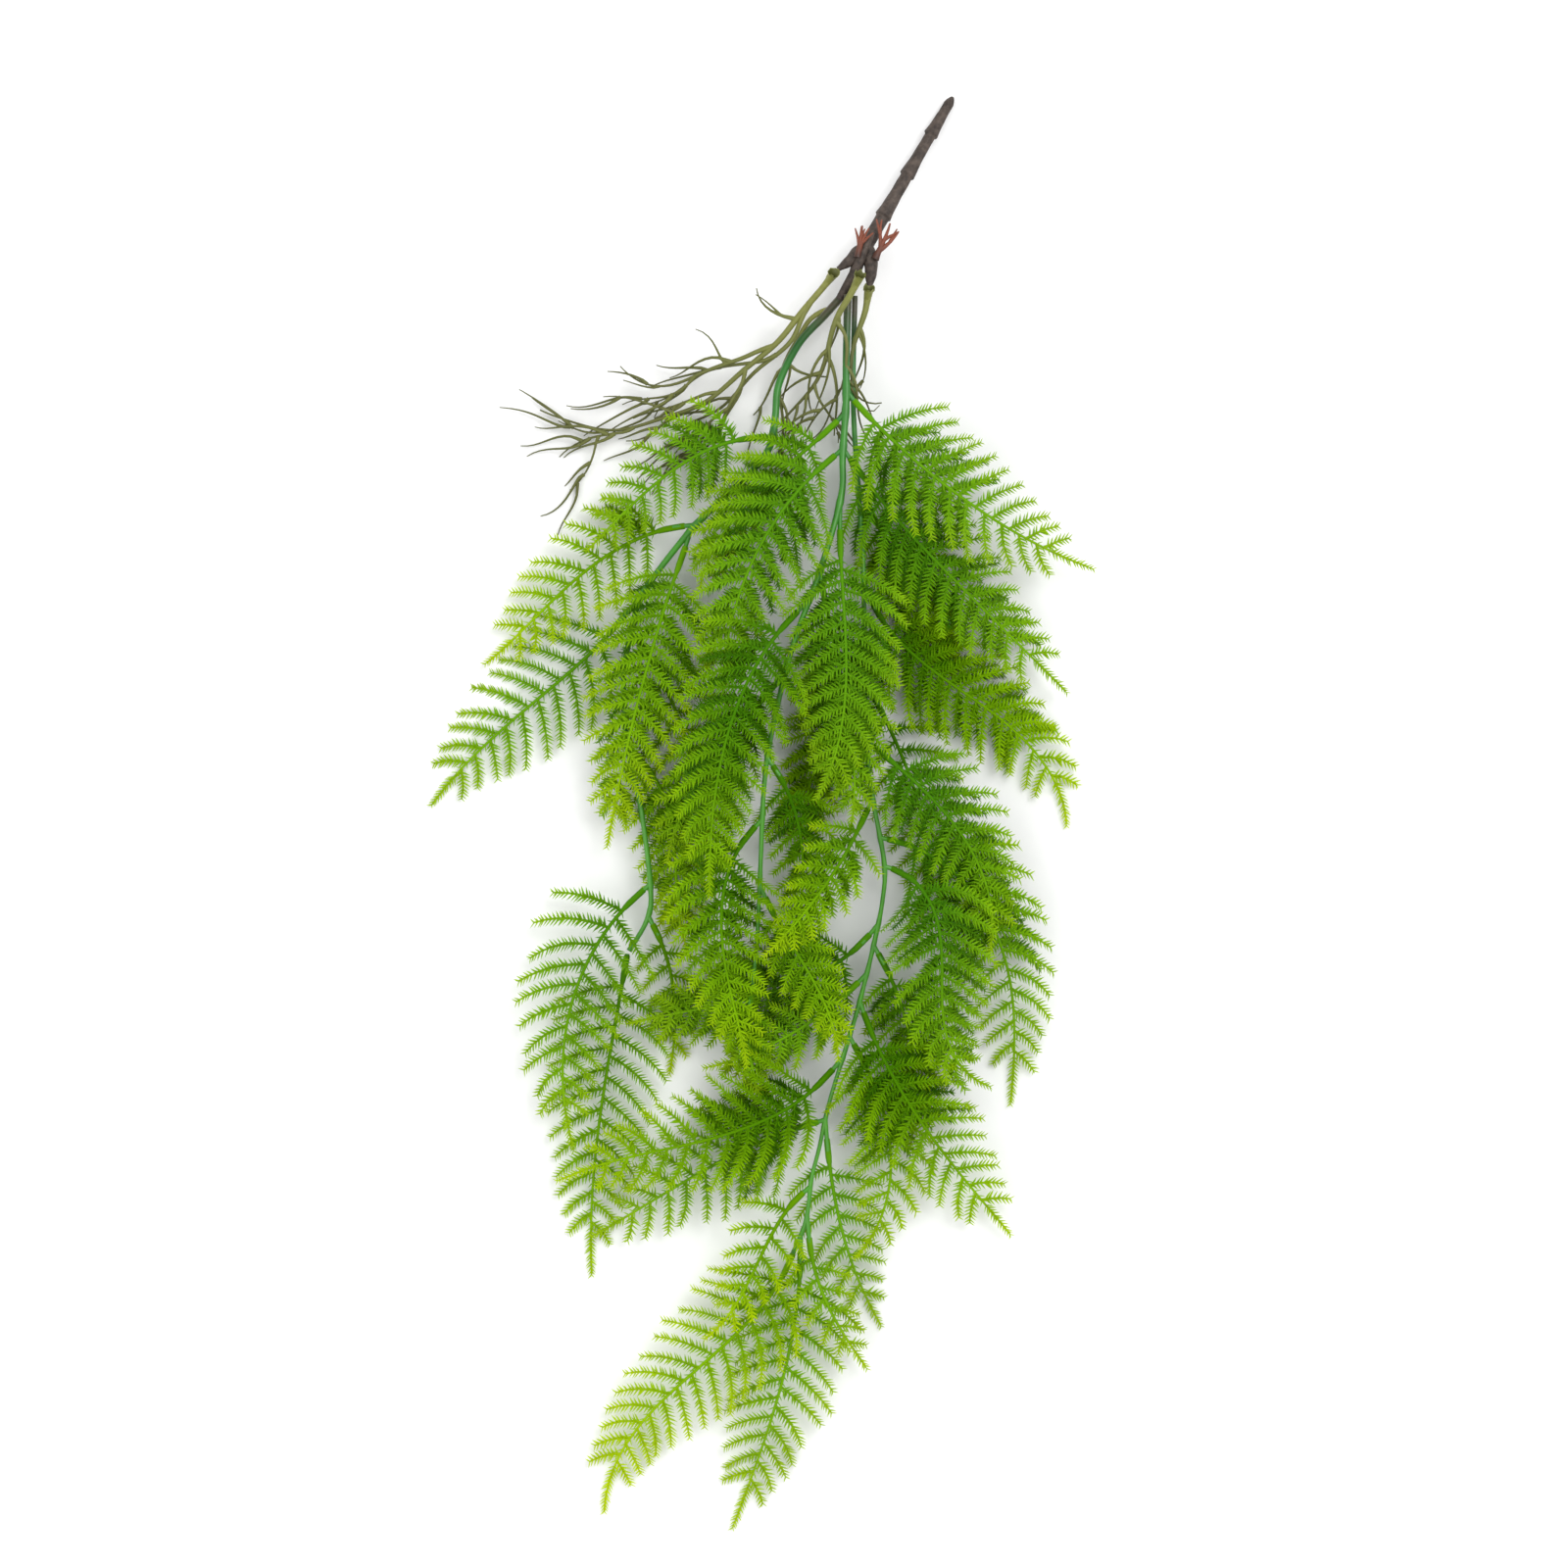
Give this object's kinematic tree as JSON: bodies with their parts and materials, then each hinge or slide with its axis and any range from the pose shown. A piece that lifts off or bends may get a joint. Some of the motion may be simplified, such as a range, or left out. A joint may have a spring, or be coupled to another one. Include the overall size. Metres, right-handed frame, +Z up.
{
  "type": "artificial hanging fern spray",
  "caption": "Artificial fern spray with a ribbed brown stem, hanging aerial roots and needle-leaved plastic fronds, lying flat, for arranging in a pot or wall basket.",
  "frame": {"origin": "on the surface it lies on, under the middle of its bounding box", "axes": "+Y from the frond tips to the brown stem's tip, +Z up from the surface"},
  "size_m": [0.3719, 0.7961, 0.0654],
  "materials": {
    "stem_brown": "matt moulded plastic over a wire, with overlapping node rings",
    "rootlet_russet": "matt soft plastic, russet",
    "root_olive": "satin soft plastic, olive shading to brown-green",
    "stem_green": "smooth satin plastic tube",
    "frond_green": "soft satin polyethylene, mid green with yellow-green tips"
  },
  "bodies": {
    "root": {"main_stem": "stem_brown", "root_spray_left": "root_olive", "root_spray_mid": "root_olive", "root_spray_right": "root_olive", "root_spray_dark": "root_olive", "rootlet_left": "rootlet_russet", "rootlet_right": "rootlet_russet", "stem_left": "stem_green", "stem_mid": "stem_green", "stem_right": "stem_green", "frond_left_01": "frond_green", "frond_left_02": "frond_green", "frond_left_03": "frond_green", "frond_left_04": "frond_green", "frond_left_05": "frond_green", "frond_left_06": "frond_green", "frond_left_07": "frond_green", "frond_left_08": "frond_green", "frond_left_09": "frond_green", "frond_mid_01": "frond_green", "frond_mid_02": "frond_green", "frond_mid_03": "frond_green", "frond_mid_04": "frond_green", "frond_mid_05": "frond_green", "frond_mid_06": "frond_green", "frond_mid_07": "frond_green", "frond_mid_08": "frond_green", "frond_mid_09": "frond_green", "frond_mid_10": "frond_green", "frond_mid_11": "frond_green", "frond_mid_12": "frond_green", "frond_right_01": "frond_green", "frond_right_02": "frond_green", "frond_right_03": "frond_green", "frond_right_04": "frond_green", "frond_right_05": "frond_green", "frond_right_06": "frond_green", "frond_right_07": "frond_green", "frond_right_08": "frond_green", "frond_right_09": "frond_green", "frond_right_10": "frond_green", "frond_right_11": "frond_green", "frond_right_12": "frond_green", "frond_right_13": "frond_green", "frond_right_14": "frond_green", "frond_right_15": "frond_green", "frond_right_16": "frond_green", "frond_right_17": "frond_green", "frond_right_18": "frond_green", "frond_right_19": "frond_green", "frond_right_20": "frond_green"}
  },
  "joints": []
}
